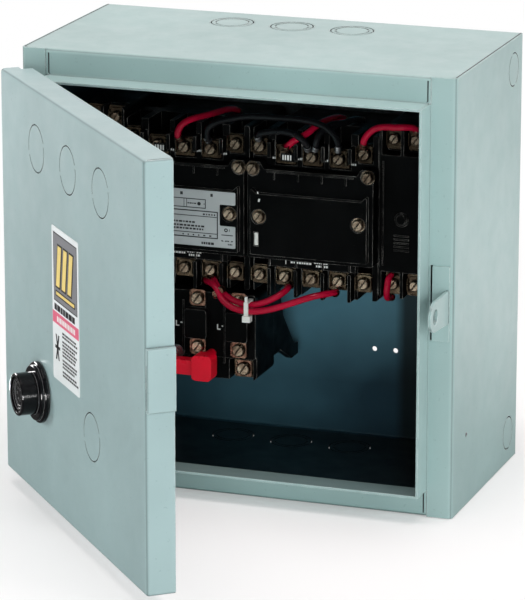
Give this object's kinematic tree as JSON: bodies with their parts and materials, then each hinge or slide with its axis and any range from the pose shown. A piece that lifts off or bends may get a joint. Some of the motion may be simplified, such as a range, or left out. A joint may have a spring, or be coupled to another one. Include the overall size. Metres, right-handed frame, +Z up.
{
  "type": "magnetic motor starter",
  "caption": "Reversing magnetic motor starter: two side-by-side contactors and an overload relay in a wall-mounted steel box with a hinged door and reset button.",
  "frame": {"origin": "centre of the enclosure's flat back face", "axes": "+X to the right seen from the front, +Y back into the wall, +Z up"},
  "size_m": [0.2925, 0.3752, 0.2826],
  "materials": {
    "enclosure_paint": "semi-gloss baked enamel",
    "door_paint": "semi-gloss baked enamel",
    "zinc_steel": "zinc plated",
    "spring_steel": "bright drawn wire",
    "black_moulding": "moulded phenolic",
    "gloss_black": "polished",
    "brass": "nickel-flashed brass",
    "copper": "drawn copper with silver tips",
    "laminated_steel": "stacked laminations",
    "coil_wrap": "varnished tape",
    "white_vinyl": "printed sticker",
    "gasket_rubber": "matt",
    "red_plastic": "moulded",
    "red_insulation": "extruded insulation",
    "black_insulation": "extruded insulation",
    "white_nylon": "moulded"
  },
  "bodies": {
    "enclosure": {"enclosure_wrapper": "enclosure_paint", "left_side_panel": "enclosure_paint", "right_side_panel": "enclosure_paint", "padlock_hasp": "enclosure_paint", "hinge_frame_leaves": "enclosure_paint", "hinge_pins": "zinc_steel", "mounting_plate": "zinc_steel", "mounting_screws": "zinc_steel", "terminal_screws": "brass", "cover_screws": "brass", "rating_label": "white_vinyl", "aux_block_left": "black_moulding", "aux_block_right": "black_moulding", "aux_terminals": "brass", "aux_screws": "brass", "interlock_frame": "black_moulding", "overload_housing": "black_moulding", "thermal_units": "black_moulding", "overload_terminals": "brass", "overload_screws": "brass", "reset_arm_spring": "spring_steel", "red_wires": "red_insulation", "black_wires": "black_insulation", "cable_tie": "white_nylon", "contactor_base_left": "black_moulding", "contactor_base_right": "black_moulding", "magnet_core_left": "laminated_steel", "magnet_core_right": "laminated_steel", "magnet_coil_left": "coil_wrap", "magnet_coil_right": "coil_wrap", "contact_block_left": "black_moulding", "contact_block_right": "black_moulding", "contact_terminals_left": "brass", "contact_terminals_right": "brass", "contactor_cover_left": "black_moulding", "contactor_cover_right": "black_moulding", "return_springs_left": "spring_steel", "return_springs_right": "spring_steel"},
    "door": {"door_panel": "door_paint", "hinge_door_leaves": "door_paint", "door_label": "white_vinyl", "reset_bezel": "gloss_black", "reset_gasket": "gasket_rubber", "reset_ring_nut": "zinc_steel", "reset_spring": "spring_steel"},
    "reset_button": {"reset_plunger": "gloss_black", "reset_clip": "spring_steel"},
    "overload_reset": {"reset_arm": "red_plastic"},
    "left_carrier": {"contact_carrier_left": "black_moulding", "magnet_armature_left": "laminated_steel", "moving_contacts_left": "copper", "contact_springs_left": "spring_steel"},
    "right_carrier": {"contact_carrier_right": "black_moulding", "magnet_armature_right": "laminated_steel", "moving_contacts_right": "copper", "contact_springs_right": "spring_steel", "indicator_flag_right": "white_nylon"},
    "left_aux_plunger": {"aux_plunger_left": "black_moulding"},
    "right_aux_plunger": {"aux_plunger_right": "black_moulding"},
    "interlock": {"interlock_lever": "black_moulding"}
  },
  "joints": [
    {"name": "door_hinge", "type": "hinge", "parent": "enclosure", "child": "door", "pos_m": [-0.1427, -0.153, 0], "axis": [0, 0, -1], "range_deg": [-49.4, 65.6]},
    {"name": "reset_button_press", "type": "slide", "parent": "door", "child": "reset_button", "axis": [0.7593, 0.6508, 0], "range_m": [0, 0.006], "stiffness_N_per_m": 350, "springref_m": -0.004, "deforming": ["reset_spring"]},
    {"name": "overload_reset_press", "type": "slide", "parent": "enclosure", "child": "overload_reset", "axis": [0, 1, 0], "range_m": [0, 0.005], "stiffness_N_per_m": 300, "springref_m": -0.003, "deforming": ["reset_arm_spring"]},
    {"name": "left_contactor_pull_in", "type": "slide", "parent": "enclosure", "child": "left_carrier", "axis": [0, 1, 0], "range_m": [0, 0.005], "stiffness_N_per_m": 900, "springref_m": -0.004, "deforming": ["return_springs_left"]},
    {"name": "right_contactor_pull_in", "type": "slide", "parent": "enclosure", "child": "right_carrier", "axis": [0, 1, 0], "range_m": [0, 0.005], "stiffness_N_per_m": 900, "springref_m": -0.004, "deforming": ["return_springs_right"]},
    {"name": "left_aux_follow", "type": "slide", "parent": "enclosure", "child": "left_aux_plunger", "axis": [0, 1, 0], "range_m": [0, 0.005]},
    {"name": "right_aux_follow", "type": "slide", "parent": "enclosure", "child": "right_aux_plunger", "axis": [0, 1, 0], "range_m": [0, 0.005]},
    {"name": "interlock_tilt", "type": "hinge", "parent": "enclosure", "child": "interlock", "pos_m": [-0.0079, -0.052, 0.0367], "axis": [0, 0, -1], "range_deg": [0, 9]}
  ],
  "couplings": [
    {"joint": "left_aux_follow", "follows": "left_contactor_pull_in", "ratio": 1},
    {"joint": "right_aux_follow", "follows": "right_contactor_pull_in", "ratio": 1},
    {"joint": "interlock_tilt", "follows": "left_contactor_pull_in", "rad_per_m": 31.067}
  ]
}
